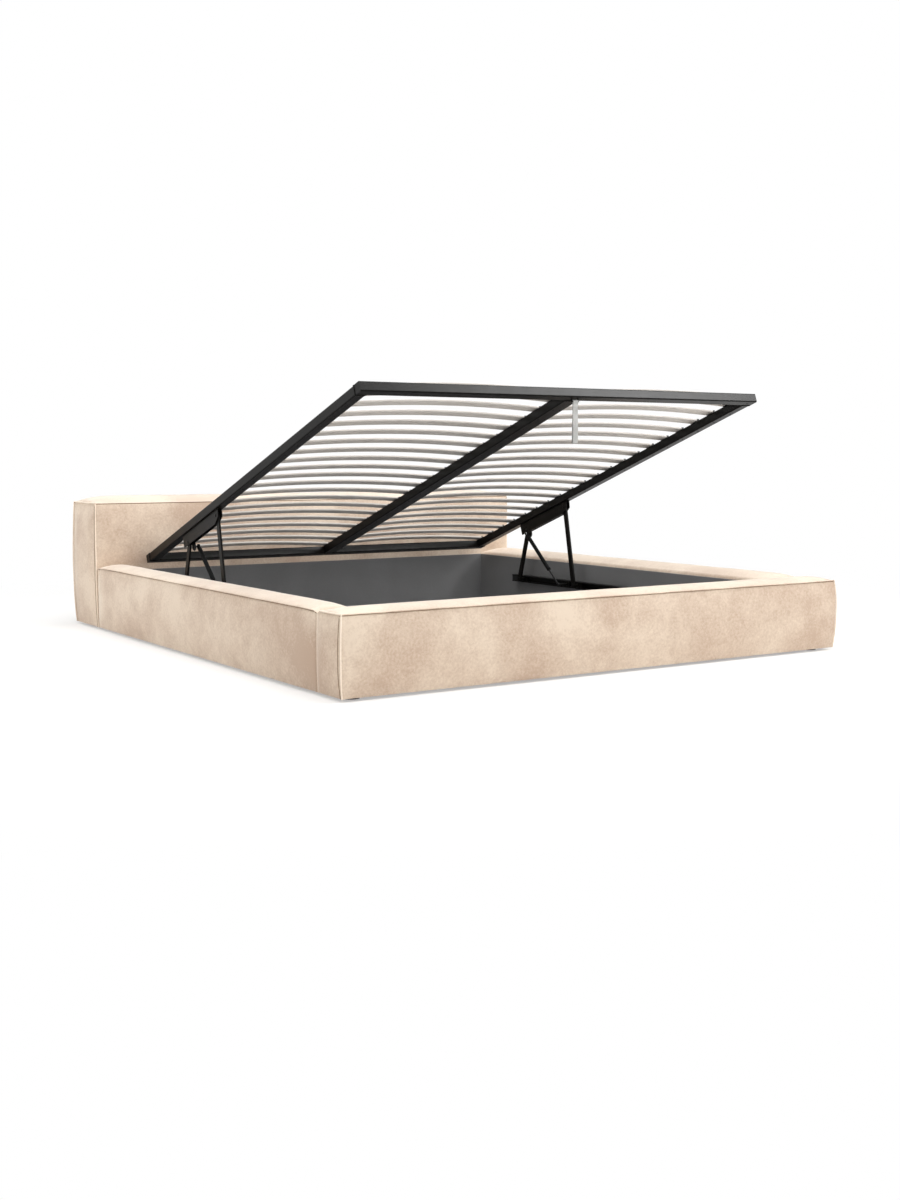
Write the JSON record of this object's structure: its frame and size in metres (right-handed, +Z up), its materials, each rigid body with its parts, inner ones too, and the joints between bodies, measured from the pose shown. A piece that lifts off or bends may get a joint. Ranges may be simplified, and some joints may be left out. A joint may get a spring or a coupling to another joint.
{
  "type": "storage bed",
  "caption": "Upholstered double bed with a low padded headboard, padded rails and a slatted frame that lifts over a storage box.",
  "frame": {"origin": "on the floor, in the middle of the bed's footprint, at the underside of the glides", "axes": "+Z up, +Y towards the headboard, +X to the right of someone standing at the foot"},
  "size_m": [2.2078, 2.5078, 1.0081],
  "materials": {
    "velvet": "short-pile velvet over foam",
    "lining": "board faced in dark grey lining cloth",
    "bottom_panel": "grey faced fibreboard",
    "bearer_wood": "planed pine",
    "zinc_steel": "zinc plated",
    "glide_plastic": "moulded",
    "black_steel": "black powder coat",
    "slat_birch": "grey pressed birch film",
    "webbing": "woven webbing",
    "strut_steel": "black gloss paint",
    "rod_steel": "black nitrided"
  },
  "bodies": {
    "base": {"headboard": "velvet", "footboard": "velvet", "side_rail_left": "velvet", "side_rail_right": "velvet", "lining_head": "lining", "lining_foot": "lining", "lining_left": "lining", "lining_right": "lining", "bottom_panel_foot": "bottom_panel", "bottom_panel_head": "bottom_panel", "centre_bearer": "bearer_wood", "joint_plate_foot_left": "zinc_steel", "glide_foot_left": "glide_plastic", "joint_plate_foot_right": "zinc_steel", "glide_foot_right": "glide_plastic", "joint_plate_head_left": "zinc_steel", "glide_head_left": "glide_plastic", "joint_plate_head_right": "zinc_steel", "glide_head_right": "glide_plastic", "lift_track_left": "black_steel", "lift_track_right": "black_steel"},
    "lift_frame": {"frame_tube_head": "black_steel", "frame_tube_foot": "black_steel", "frame_tube_left": "black_steel", "frame_tube_right": "black_steel", "centre_beam": "black_steel", "lift_bracket_left": "black_steel", "lift_bracket_right": "black_steel", "slat_pair_01": "slat_birch", "slat_pair_02": "slat_birch", "slat_pair_03": "slat_birch", "slat_pair_04": "slat_birch", "slat_pair_05": "slat_birch", "slat_pair_06": "slat_birch", "slat_pair_07": "slat_birch", "slat_pair_08": "slat_birch", "slat_pair_09": "slat_birch", "slat_pair_10": "slat_birch", "slat_pair_11": "slat_birch", "slat_pair_12": "slat_birch", "slat_pair_13": "slat_birch", "slat_pair_14": "slat_birch", "slat_pair_15": "slat_birch", "slat_pair_16": "slat_birch", "slat_pair_17": "slat_birch", "slat_pair_18": "slat_birch", "slat_pair_19": "slat_birch", "slat_pair_20": "slat_birch", "slat_pair_21": "slat_birch"},
    "pull_strap": {"pull_strap": "webbing"},
    "carriage_left": {"carriage_left": "black_steel"},
    "rear_arm_left": {"rear_arm_left": "black_steel"},
    "front_arm_left": {"front_arm_left": "black_steel"},
    "strut_cylinder_left": {"strut_cylinder_left": "strut_steel"},
    "strut_rod_left": {"strut_rod_left": "rod_steel"},
    "carriage_right": {"carriage_right": "black_steel"},
    "rear_arm_right": {"rear_arm_right": "black_steel"},
    "front_arm_right": {"front_arm_right": "black_steel"},
    "strut_cylinder_right": {"strut_cylinder_right": "strut_steel"},
    "strut_rod_right": {"strut_rod_right": "rod_steel"}
  },
  "joints": [
    {"name": "frame_lift", "type": "hinge", "parent": "base", "child": "lift_frame", "pos_m": [0, 1.01624, 0.44229], "axis": [1, 0, 0], "range_deg": [0, 19.6]},
    {"name": "strap_swing", "type": "hinge", "parent": "lift_frame", "child": "pull_strap", "pos_m": [0, -0.99767, 0.95211], "axis": [1, 0, 0], "range_deg": [-22, 30]},
    {"name": "carriage_slide_left", "type": "slide", "parent": "base", "child": "carriage_left", "axis": [0, 1, 0], "range_m": [-0.272, 0.002]},
    {"name": "rear_arm_swing_left", "type": "hinge", "parent": "lift_frame", "child": "rear_arm_left", "pos_m": [-0.87, 0.46127, 0.40182], "axis": [1, 0, 0], "range_deg": [-113, 1]},
    {"name": "front_arm_swing_left", "type": "hinge", "parent": "lift_frame", "child": "front_arm_left", "pos_m": [-0.87, 0.17715, 0.5221], "axis": [1, 0, 0], "range_deg": [-87.5, 1]},
    {"name": "strut_swing_left", "type": "hinge", "parent": "lift_frame", "child": "strut_cylinder_left", "pos_m": [-0.842, 0.43815, 0.38458], "axis": [1, 0, 0], "range_deg": [-55.5, 1]},
    {"name": "strut_stroke_left", "type": "slide", "parent": "strut_cylinder_left", "child": "strut_rod_left", "axis": [0, 0.7466, 0.6653], "range_m": [-0.002, 0.0325]},
    {"name": "carriage_slide_right", "type": "slide", "parent": "base", "child": "carriage_right", "axis": [0, 1, 0], "range_m": [-0.272, 0.002]},
    {"name": "rear_arm_swing_right", "type": "hinge", "parent": "lift_frame", "child": "rear_arm_right", "pos_m": [0.87, 0.46127, 0.40182], "axis": [1, 0, 0], "range_deg": [-113, 1]},
    {"name": "front_arm_swing_right", "type": "hinge", "parent": "lift_frame", "child": "front_arm_right", "pos_m": [0.87, 0.17715, 0.5221], "axis": [1, 0, 0], "range_deg": [-87.5, 1]},
    {"name": "strut_swing_right", "type": "hinge", "parent": "lift_frame", "child": "strut_cylinder_right", "pos_m": [0.842, 0.43815, 0.38458], "axis": [1, 0, 0], "range_deg": [-55.5, 1]},
    {"name": "strut_stroke_right", "type": "slide", "parent": "strut_cylinder_right", "child": "strut_rod_right", "axis": [0, 0.7466, 0.6653], "range_m": [-0.002, 0.0325]}
  ],
  "couplings": [
    {"joint": "carriage_slide_left", "follows": "frame_lift", "m_per_rad": -0.78928},
    {"joint": "rear_arm_swing_left", "follows": "frame_lift", "ratio": -5.7235},
    {"joint": "front_arm_swing_left", "follows": "frame_lift", "ratio": -4.4235},
    {"joint": "strut_swing_left", "follows": "frame_lift", "ratio": -2.7948},
    {"joint": "strut_stroke_left", "follows": "frame_lift", "m_per_rad": 0.09084},
    {"joint": "carriage_slide_right", "follows": "frame_lift", "m_per_rad": -0.78928},
    {"joint": "rear_arm_swing_right", "follows": "frame_lift", "ratio": -5.7235},
    {"joint": "front_arm_swing_right", "follows": "frame_lift", "ratio": -4.4235},
    {"joint": "strut_swing_right", "follows": "frame_lift", "ratio": -2.7948},
    {"joint": "strut_stroke_right", "follows": "frame_lift", "m_per_rad": 0.09084}
  ]
}
